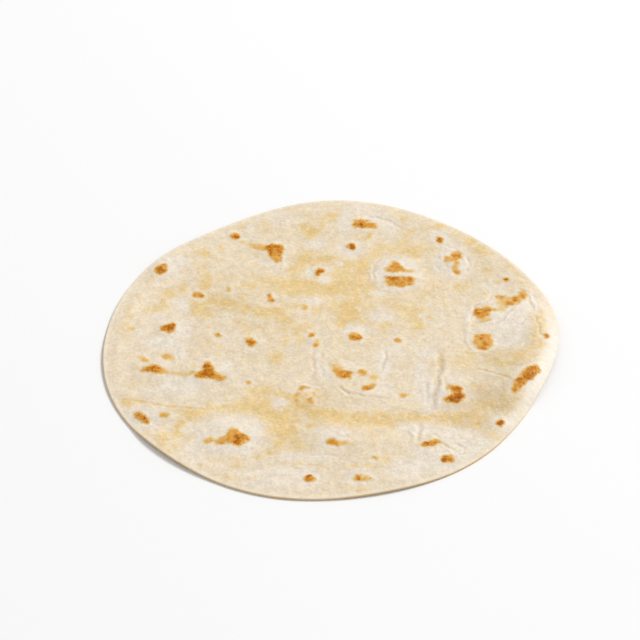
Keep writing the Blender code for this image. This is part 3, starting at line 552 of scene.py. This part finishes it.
# painted light: the rim at the near left is made pale too
PALE_RIM = 0.8
PALE_RIM_WIDTH = 14 * MM      # palest over the outer half of this
ACROSS_FROM_PALE_RIM = 0.75   # direction straight across from it, in radians
pale_rim = smooth_step((PALE_RIM_WIDTH - inset) / (PALE_RIM_WIDTH / 2))
pale_side = np.clip(-np.cos(angle - ACROSS_FROM_PALE_RIM), 0, 1)
pale = np.maximum(strongest(patch_x, patch_y, PAINTED_LIGHT_AREAS, softness=0.7), PALE_RIM * pale_rim * pale_side)
pale = np.where(is_top, pale, 0.0)

# ---- relief: the same low places and blisters as the solid, and the finer unevenness of baked dough ----
LUMP_SIZE, LUMP_HEIGHT, UNDER_LUMP_HEIGHT = 15.0, 0.07, 0.10            # mm
PEBBLE_SIZE, PEBBLE_HEIGHT, UNDER_PEBBLE_HEIGHT = 4.2, 0.095, 0.05      # mm
TOAST_SWELL = 0.16 * MM       # how far a brown spot stands up
TOAST_SHOULDER = 2.5          # mm in from its edge to its full height
RING_PLACE = 0.92             # where a raised ring runs round a blister: share of the way out to its edge
RING_HEIGHT = 0.09            # its height, as a share of the blister's
RING_HALF_WIDTH = 1.0         # mm
RING_GAPS = (0.5, 1.4)        # how whole a ring is on level dough, and how much more on a lump
CREASE_RAGGED = 1.2           # how much more ragged creases are than the marks
HIGHLIT_RIDGE = 0.14           # height of a ridge with a painted highlight all over, as a share of CREASE_DEPTH
RIDGE_HIGHLIGHT_GAPS = (0.6, 1.2)       # how whole a ridge's painted highlight is on level dough, and how much more on a pebble
SHADED_GROOVE = 0.3           # depth of a groove with painted shade all over, as a share of CREASE_DEPTH
RELIEF_AT_EDGE = 0.35         # share of the relief that is left at the very edge
RELIEF_FADE = 3 * MM          # how far in from the edge it is whole
UNDER_FADE = 6 * MM           # the same for the lower face

lumps = cloud(x_mm, y_mm, LUMP_SIZE, seed=51.2)
pebbles = cloud(x_mm, y_mm, PEBBLE_SIZE, seed=61.8, octaves=3)
relief = swell + MM * (LUMP_HEIGHT * lumps + PEBBLE_HEIGHT * pebbles)
relief += TOAST_SWELL * smooth_step(toast_depth / TOAST_SHOULDER) * toast_brown
ring_whole = np.clip(RING_GAPS[0] + RING_GAPS[1] * lumps, 0, RING_GAPS[1])
for *oval, high in BLISTERS:
    foot = oval_distance(x_mm + ragged_x, y_mm + ragged_y, *oval) - RING_PLACE
    foot = foot * min(oval[2], oval[3]) / 2
    relief += RING_HEIGHT * high * MM * np.exp(-(foot / RING_HALF_WIDTH) ** 2) * ring_whole
crease_x, crease_y = x_mm + CREASE_RAGGED * ragged_x, seen_y + CREASE_RAGGED * ragged_y
creased = sum(crease_depth(crease_x, crease_y, *crease) for crease in CREASES)
relief -= CREASE_DEPTH * creased
# raised ridges get a painted highlight, broken up on level dough
ridge_highlight_whole = np.clip(RIDGE_HIGHLIGHT_GAPS[0] + RIDGE_HIGHLIGHT_GAPS[1] * pebbles, 0.0, 1.0)
crest = np.where(is_top, np.clip(-creased / HIGHLIT_RIDGE, 0.0, 1.0) * ridge_highlight_whole, 0.0)
# painted shade at the bottom of grooves
painted_crease_shade = np.where(is_top, np.clip(creased / SHADED_GROOVE, 0.0, 1.0), 0.0)

under_relief = np.maximum(0.0, UNDER_LUMP_HEIGHT * lumps + UNDER_PEBBLE_HEIGHT * pebbles)
under_relief = MM * under_relief * smooth_step(inset / UNDER_FADE)
top_relief = relief * (RELIEF_AT_EDGE + (1 - RELIEF_AT_EDGE) * smooth_step(inset / RELIEF_FADE))
height = np.where(is_top, lower + thick + top_relief, lower + under_relief)
# between the two faces the edge is a half round
round_turn = math.pi * (level - 0.5)
in_wall = (level > 0.01) & (level < 0.99)
bulge = np.where(in_wall, EDGE_ROUND * np.cos(round_turn), 0.0)
wall_height = lower + thick / 2 * (1 + np.sin(round_turn)) + level * relief * RELIEF_AT_EDGE
place = np.stack([
    (radius + bulge) * np.cos(angle) - middle_x,
    (radius + bulge) * np.sin(angle) - middle_y,
    np.where(in_wall, wall_height, height),
], axis=1)
sheet_mesh.vertices.foreach_set("co", place.ravel())

# ---- the edge: golden all round, partly painted shade, with a thin painted highlight along its top and a wide painted highlight on the rim on the right, which faces the window ----
HIGHLIT_RIM_WAY, HIGHLIT_RIM_SPREAD = -14, 40             # direction and half spread of the painted highlight on the rim, in degrees
HIGHLIT_RIM_MIDDLE = 1.3           # more than 1, so that the middle of that stretch has the painted highlight all over
HIGHLIT_RIM_WIDTH, LINE_WIDTH = 6.5, 1.6             # mm
# the golden edge is partly the dough's own colour and partly painted shade, warmed by light from beneath
GOLDEN_WIDTH = 3 * MM
EDGE_LINE_HIGHLIGHT = 0.45             # how bright the thin painted highlight along the edge is
HIGHLIGHT_HIDES_GOLD = 0.7          # share of the gold that the painted highlight covers along the rim on the right


def beside_edge(widths_in, full):
    """1 from the edge in to a share of a width, then fading out over one whole width."""
    return smooth_step(1 + full - widths_in)


off = (np.degrees(angle) - HIGHLIT_RIM_WAY + 180) % 360 - 180
floury_stretch = smooth_step(HIGHLIT_RIM_MIDDLE * (1 - np.abs(off) / HIGHLIT_RIM_SPREAD))
floury = floury_stretch * beside_edge(inset / MM / HIGHLIT_RIM_WIDTH, full=0.4)
floury = np.maximum(floury, EDGE_LINE_HIGHLIGHT * beside_edge(inset / MM / LINE_WIDTH, full=0.5)) * is_top
# golden edge: partly painted shade
wall = np.where(is_top & ~in_wall, 0.0, beside_edge(inset / GOLDEN_WIDTH, full=0.6))
wall *= 1 - HIGHLIGHT_HIDES_GOLD * floury_stretch

sheet_fields = {
    "toast_depth": toast_depth, "toast_brown": toast_brown, "dry": dry, "damp": damp, "tan": tan,
    "pale": pale, "floury": floury, "wall": wall, "crest": crest, "painted_crease_shade": painted_crease_shade,
}
for name, values in sheet_fields.items():
    sheet_mesh.attributes.new(name, "FLOAT", "POINT").data.foreach_set("value", values.astype(np.float32))
sheet_mesh.update()
sheet_mesh.shade_smooth()

# ---- Baked wheat dough ----
# Flour tortilla dough, dry-baked: matt, faintly floury and slightly translucent. One value, how far a place
# is baked, takes it from floury cream by damp yellow and gold to brown. Single grains of flour are too fine
# to show from here, so the finest pattern is drawn as coarse as 1.5 mm.

# stages of baking: how far along (0 to 1), colour
BAKING = (
    (0.00, "#ece4d6"), (0.08, "#eaddc9"), (0.14, "#e9d9be"), (0.21, "#e9d5b2"), (0.29, "#e8d0a1"),
    (0.40, "#e7c98d"), (0.53, "#e3b770"), (0.65, "#e2ac58"), (0.78, "#dc9b38"), (0.89, "#cb8210"),
    (1.00, "#a95d00"),
)
BARE_DOUGH = 0.135            # how far along dough is that is neither damp nor dry
DAMP_MORE = 0.272             # what damp adds to it
DRY_LESS = 0.105              # what dry flour takes off it
DRY_HIDES = 0.75              # share of the damp that dry flour hides
SPOT_START = 0.34             # how far along the palest toasted spot is
SPOT_MORE = 0.43              # what a spot's own brown adds to it

# cloudy patterns: size (mm), detail, roughness, distortion
GRAINS = {
    "blotches": (7.5, 3.0, 0.55, 0.0), "mottling": (3.4, 2.0, 0.4, 0.0), "crumb": (1.5, 1.0, 0.55, 0.0),
    "cracks": (5.5, 2.0, 0.6, 0.8), "flecks": (2.4, 2.0, 0.65, 0.5),
    "flour_clouds": (4.6, 3.0, 0.7, 0.0), "flour_specks": (2.8, 2.0, 0.6, 0.0),
}

# how fields and patterns are spread: from, to, and what that becomes where it isn't 0 to 1
DAMP_SHOWS = (-0.16, 1.1)
DRY_SHOWS = (0.1, 0.9, 0.0, DRY_LESS)
TAN_AND_SHADE_SHOWS = (0.1, 1.0)
SPOT_EDGE = (-0.9, 1.0)       # mm in from a spot's edge, less than 0 outside it
SPOT_DEEPENS = (0.2, 1.8, -0.06, 0.13)          # mm in, what it adds to how far along the spot is
PALE_RING = (-3.6, -1.0)      # mm in, so outside the spot
FAINT_SPOTS = (0.0, 0.3, 0.6, 1.0)              # how brown a spot is, how much it covers
RINGED_SPOTS = (0.2, 0.7, 0.0, 0.4)             # how brown it is, how pale its ring
CRACK_LINES = (0.0, 0.035, 0.16, 0.0)           # how near a crack's middle, what it adds to how far along
CRACKED_SPOTS = (0.4, 0.9)    # how brown
FLECK_PATCHES = (0.46, 0.64)
FLECKED_SPOTS = (0.3, 0.9)    # how brown
CLOUD_PATCHES = (0.32, 0.68)
SPECK_PATCHES = (0.56, 0.66, 0.0, 0.25)
SPECKED_BLOTCHES = (0.42, 0.6)                  # flour specks lie on the blotches

# colours laid over the baked one
CRAZED = "#e0c9a4"            # multiplied: dark flecks of the spots' crust
TANNED_AND_SHADED = "#f6f4f0"            # multiplied: places a little darker all over, partly baked darker and partly painted shade
PAINTED_LIGHT_COLOUR = "#4a4846"          # added: painted light, where places are made paler
FLOUR_THIN, FLOUR_THICK = "#ebe9e7", "#ffffff"  # multiplied: clouds of flour
FLOUR_SPECK_AND_HIGHLIGHT = "#f6efe4"       # specks of flour, and painted highlight on raised ridges
# painted highlight on the rim on the right and along the top of the edge
RIM_HIGHLIGHT_COLOUR = "#f3ebdf"
GROOVE_SHADE = "#e6dccb"      # multiplied: painted shade at the bottom of creases
# the edge: partly its own golden colour, partly painted shade warmed by light from beneath
GOLDEN_EDGE = "#e0bd80"
RIM_HIGHLIT, GROOVE_SHADED, RIDGE_HIGHLIT, EDGE_GOLDEN = 0.7, 0.4, 0.36, 0.75   # how strongly, at most

DOUGH_ROUGHNESS = 0.74        # of dry dough
DAMP_SMOOTHER = 0.14          # what damp takes off it
SPOT_SMOOTHER = 0.12          # what toasting takes off it
DOUGH_IOR = 1.42
DOUGH_SHINE = 0.24            # specular level, half the usual: flour dulls it
GLOW = 0.22                   # share of its light that is scattered inside the dough
GLOW_DEPTH = 1.6 * MM         # how far red light gets
GLOW_BY_COLOUR = (1.0, 0.62, 0.34)              # how far red, green and blue get, as shares of that
PORE_DEPTH = 0.35 * MM
PORE_SHARPNESS = 0.8


def linear(hex_colour):
    """An sRGB hex colour as linear RGBA."""
    parts = [int(hex_colour[place:place + 2], 16) / 255 for place in (1, 3, 5)]
    curved = [part / 12.92 if part <= 0.04045 else ((part + 0.055) / 1.055) ** 2.4 for part in parts]
    return (*curved, 1.0)


def add_node(tree, kind, *values, inputs=(), **settings):
    """Adds a node. Its inputs, in order or by name, are set to values or linked to sockets or to nodes."""
    made = tree.nodes.new("ShaderNode" + kind)
    for name, value in settings.items():
        setattr(made, name, value)
    for name, value in (*enumerate(values), *dict(inputs).items()):
        if isinstance(value, bpy.types.Node):
            value = value.outputs[0]
        if isinstance(value, bpy.types.NodeSocket):
            tree.links.new(value, made.inputs[name])
        else:
            made.inputs[name].default_value = value
    return made


def baked_dough():
    """The whole tortilla's material."""
    material = bpy.data.materials.new("baked_wheat_dough")
    material.use_nodes = True
    tree = material.node_tree
    tree.nodes.clear()
    plus, less, times = {"operation": "ADD"}, {"operation": "SUBTRACT"}, {"operation": "MULTIPLY"}
    eased = {"interpolation_type": "SMOOTHSTEP"}
    field = {name: add_node(tree, "Attribute", attribute_name=name).outputs["Fac"] for name in sheet_fields}
    place = add_node(tree, "TexCoord").outputs["Object"]
    grain = {}
    for name, (size_mm, detail, roughness, distortion) in GRAINS.items():
        grain[name] = add_node(tree, "TexNoise", inputs={
            "Vector": place, "Scale": 1 / (size_mm * MM), "Detail": detail,
            "Roughness": roughness, "Distortion": distortion})

    def uneven(**amounts):
        """Cloudy patterns added up, each swinging about 0 by its amount."""
        swings = [add_node(tree, "Math", add_node(tree, "Math", grain[name], 0.5, **less), amount, **times)
                  for name, amount in amounts.items()]
        return add_node(tree, "Math", *swings, **plus) if len(swings) > 1 else swings[0]

    # how far baked: pale ground, damp yellow places, dry floury places
    blotchy = uneven(blotches=0.7, mottling=0.7)
    hidden = add_node(tree, "Math", field["dry"], DRY_HIDES, **times)
    yellow = add_node(tree, "Math", field["damp"], add_node(tree, "Math", 1.0, hidden, **less), **times)
    yellow = add_node(tree, "Math", yellow, blotchy, **plus)
    yellow = add_node(tree, "MapRange", yellow, *DAMP_SHOWS, **eased)
    baked = add_node(tree, "Math", BARE_DOUGH, add_node(tree, "Math", yellow, DAMP_MORE, **times), **plus)
    dusty = add_node(tree, "Math", field["dry"], blotchy, **plus)
    dusty = add_node(tree, "MapRange", dusty, *DRY_SHOWS, **eased)
    baked = add_node(tree, "Math", baked, dusty, **less)
    baked = add_node(tree, "Math", baked, uneven(blotches=0.06, mottling=0.08), **plus)
    baked = add_node(tree, "Math", baked, 0.0, operation="MAXIMUM")

    # toasted spots: ragged at their edge, browner inward, with darker cracks
    inward = add_node(tree, "Math", field["toast_depth"], uneven(mottling=2.0, crumb=1.0), **plus)
    own_brown = add_node(tree, "Math", field["toast_brown"], SPOT_MORE, **times)
    brown = add_node(tree, "Math", SPOT_START, own_brown, **plus)
    deeper = add_node(tree, "MapRange", inward, *SPOT_DEEPENS, **eased)
    deeper = add_node(tree, "Math", deeper, field["toast_brown"], **times)
    brown = add_node(tree, "Math", brown, deeper, **plus)
    brown = add_node(tree, "Math", brown, uneven(mottling=0.36, crumb=0.4), **plus)
    crack = add_node(tree, "Math", grain["cracks"], 0.5, **less)
    crack = add_node(tree, "Math", crack, operation="ABSOLUTE")
    crack = add_node(tree, "MapRange", crack, *CRACK_LINES, **eased)
    cracked = add_node(tree, "MapRange", field["toast_brown"], *CRACKED_SPOTS, **eased)
    brown = add_node(tree, "Math", brown, add_node(tree, "Math", crack, cracked, **times), **plus)
    covering = add_node(tree, "MapRange", field["toast_brown"], *FAINT_SPOTS, **eased)
    spot = add_node(tree, "MapRange", inward, *SPOT_EDGE, **eased)
    spot = add_node(tree, "Math", spot, covering, **times)

    # a pale ring close round each spot, and then the spots themselves
    ringed = add_node(tree, "MapRange", field["toast_brown"], *RINGED_SPOTS, **eased)
    ring = add_node(tree, "MapRange", inward, *PALE_RING, **eased)
    ring = add_node(tree, "Math", ring, ringed, **times)
    baked = add_node(tree, "Math", baked, add_node(tree, "Math", 1.0, ring, **less), **times)
    baked = add_node(tree, "Mix", inputs={0: spot, 2: baked, 3: brown}, data_type="FLOAT")
    ramp = add_node(tree, "ValToRGB", baked)
    stops = ramp.color_ramp.elements
    for count, (along, hex_colour) in enumerate(BAKING):
        # a new ramp comes with its first two stops
        stop = stops[count] if count < 2 else stops.new(along)
        stop.position, stop.color = along, linear(hex_colour)

    # the crust of the spots is crazed, and some places are a little darker all over, partly from baking and
    # partly painted shade
    fleck = add_node(tree, "MapRange", grain["flecks"], *FLECK_PATCHES, **eased)
    flecked = add_node(tree, "MapRange", field["toast_brown"], *FLECKED_SPOTS, **eased)
    fleck = add_node(tree, "Math", fleck, flecked, **times)
    fleck = add_node(tree, "Math", fleck, spot, **times)
    tan_and_shade_amount = add_node(tree, "Math", field["tan"], uneven(blotches=0.25), **plus)
    tan_and_shade_amount = add_node(tree, "MapRange", tan_and_shade_amount, *TAN_AND_SHADE_SHOWS, **eased)

    # on all but the spots: painted light where places are made paler, thin and thick clouds of flour,
    # specks of flour, and painted highlight on the rim and on raised ridges
    bare = add_node(tree, "Math", 1.0, spot, **less)
    painted_light_amount = add_node(tree, "Math", field["pale"], bare, **times)
    clouds = add_node(tree, "Math", grain["flour_clouds"], 0.6, **times)
    clouds = add_node(tree, "Math", clouds, add_node(tree, "Math", grain["crumb"], 0.4, **times), **plus)
    clouds = add_node(tree, "MapRange", clouds, *CLOUD_PATCHES, **eased)
    clouds = add_node(tree, "Mix", inputs={
        "Factor": clouds, 6: linear(FLOUR_THIN), 7: linear(FLOUR_THICK)}, data_type="RGBA").outputs[2]
    specked = add_node(tree, "MapRange", grain["blotches"], *SPECKED_BLOTCHES, **eased)
    specks = add_node(tree, "MapRange", grain["flour_specks"], *SPECK_PATCHES, **eased)
    specks = add_node(tree, "Math", specks, specked, **times)
    specks = add_node(tree, "Math", specks, bare, **times)
    rim_highlight_amount = add_node(tree, "Math", bare, RIM_HIGHLIT, **times)
    rim_highlight_amount = add_node(tree, "Math", field["floury"], rim_highlight_amount, **times)
    # painted shade in the grooves
    groove = add_node(tree, "Math", field["painted_crease_shade"], GROOVE_SHADED, **times)
    ridge = add_node(tree, "Math", bare, RIDGE_HIGHLIT, **times)
    ridge = add_node(tree, "Math", field["crest"], ridge, **times)
    # the golden edge, partly painted shade
    golden = add_node(tree, "Math", field["wall"], EDGE_GOLDEN, **times)

    # each is laid over what is there: how much, what colour, how
    layers = (
        (fleck, linear(CRAZED), "MULTIPLY"), (tan_and_shade_amount, linear(TANNED_AND_SHADED), "MULTIPLY"),
        (painted_light_amount, linear(PAINTED_LIGHT_COLOUR), "ADD"), (1.0, clouds, "MULTIPLY"), (specks, linear(FLOUR_SPECK_AND_HIGHLIGHT), "MIX"),
        (rim_highlight_amount, linear(RIM_HIGHLIGHT_COLOUR), "MIX"), (groove, linear(GROOVE_SHADE), "MULTIPLY"),
        (ridge, linear(FLOUR_SPECK_AND_HIGHLIGHT), "MIX"), (golden, linear(GOLDEN_EDGE), "MIX"),
    )
    colour = ramp
    for amount, over, mode in layers:
        colour = add_node(tree, "Mix", inputs={
            "Factor": amount, 6: colour, 7: over}, data_type="RGBA", blend_type=mode).outputs[2]

    rough = add_node(tree, "Math", yellow, DAMP_SMOOTHER, **times)
    rough = add_node(tree, "Math", DOUGH_ROUGHNESS, rough, **less)
    rough = add_node(tree, "Math", rough, add_node(tree, "Math", spot, SPOT_SMOOTHER, **times), **less)
    pores = add_node(tree, "Math", grain["mottling"], 1.5, **times)
    pores = add_node(tree, "Math", pores, add_node(tree, "Math", grain["crumb"], 0.5, **times), **plus)
    bump = add_node(tree, "Bump", inputs={
        "Strength": PORE_SHARPNESS, "Distance": PORE_DEPTH, "Height": pores})
    shader = add_node(tree, "BsdfPrincipled", inputs={
        "Base Color": colour, "Roughness": rough, "Normal": bump,
        "IOR": DOUGH_IOR, "Specular IOR Level": DOUGH_SHINE,
        "Subsurface Weight": GLOW, "Subsurface Radius": GLOW_BY_COLOUR, "Subsurface Scale": GLOW_DEPTH})
    add_node(tree, "OutputMaterial", inputs={"Surface": shader})
    return material


sheet_mesh.materials.append(baked_dough())
sheet = bpy.data.objects.new("tortilla_sheet", sheet_mesh)
bpy.context.scene.collection.objects.link(sheet)
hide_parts("tortilla")
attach(sheet, "root")

# ======== The floor ========
# A plain pale surface that the tortilla lies on. It is no part of the object.
FLOOR_SIZE = 6.0
FLOOR_DROP = 0.2 * MM         # keeps its face clear of the tortilla's
FLOOR_WHITE = "#f2f2f2"
floor_mesh = bpy.data.meshes.new("pale_floor")
bm = bmesh.new()
bmesh.ops.create_grid(bm, x_segments=1, y_segments=1, size=FLOOR_SIZE / 2)
bm.to_mesh(floor_mesh)
bm.free()
floor_paint = bpy.data.materials.new("matt_white_floor")
floor_paint.use_nodes = True
floor_shader = floor_paint.node_tree.nodes["Principled BSDF"]
floor_shader.inputs["Base Color"].default_value = linear(FLOOR_WHITE)
floor_shader.inputs["Roughness"].default_value = 0.9
floor_shader.inputs["Specular IOR Level"].default_value = 0.1
floor_mesh.materials.append(floor_paint)
floor = bpy.data.objects.new("pale_floor", floor_mesh)
floor.location.z = -FLOOR_DROP
bpy.context.scene.collection.objects.link(floor)

# ======== Light ========
# One soft window on the right and a little behind, and even white light from all round.
KEY_RISE = math.radians(45)
KEY_WAY = math.radians(35)    # from +X towards +Y
KEY_DISTANCE = 6.0
KEY_SIZE = 2.2
KEY_WATTS = 266.0
ROUND_LIGHT = 0.587           # strength of the light from all round
KEY_FROM = KEY_DISTANCE * Vector((
    math.cos(KEY_RISE) * math.cos(KEY_WAY), math.cos(KEY_RISE) * math.sin(KEY_WAY), math.sin(KEY_RISE)))
key_lamp = bpy.data.lights.new("window", "AREA")
key_lamp.shape = "DISK"
key_lamp.size = KEY_SIZE
key_lamp.energy = KEY_WATTS
key = bpy.data.objects.new("window", key_lamp)
key.location = KEY_FROM
key.rotation_euler = (-KEY_FROM).to_track_quat("-Z", "Y").to_euler()
bpy.context.scene.collection.objects.link(key)
world = bpy.data.worlds.new("white_room")
world.use_nodes = True
world.node_tree.nodes["Background"].inputs["Color"].default_value = (1.0, 1.0, 1.0, 1.0)
world.node_tree.nodes["Background"].inputs["Strength"].default_value = ROUND_LIGHT
bpy.context.scene.world = world
bpy.context.scene.view_settings.view_transform = "Standard"

# ======== Camera ========
# A long lens, looking down at the tortilla from the front, at the photograph's angle.
CAMERA_VIEW = math.radians(22.0)
CAMERA_DISTANCE = 0.916
AIM_X, AIM_Y = -6.35 * MM, 13.95 * MM           # where it points, from the middle of the outline's waves
AIM = Vector((AIM_X - middle_x, AIM_Y - middle_y, SEEN_HEIGHT * MM))
lens = bpy.data.cameras.new("camera")
lens.angle = CAMERA_VIEW
camera = bpy.data.objects.new("camera", lens)
camera.location = AIM + CAMERA_DISTANCE * Vector((0, -math.cos(SEEN_RISE), math.sin(SEEN_RISE)))
camera.rotation_euler = (math.pi / 2 - SEEN_RISE, 0, 0)
bpy.context.scene.collection.objects.link(camera)
bpy.context.scene.camera = camera
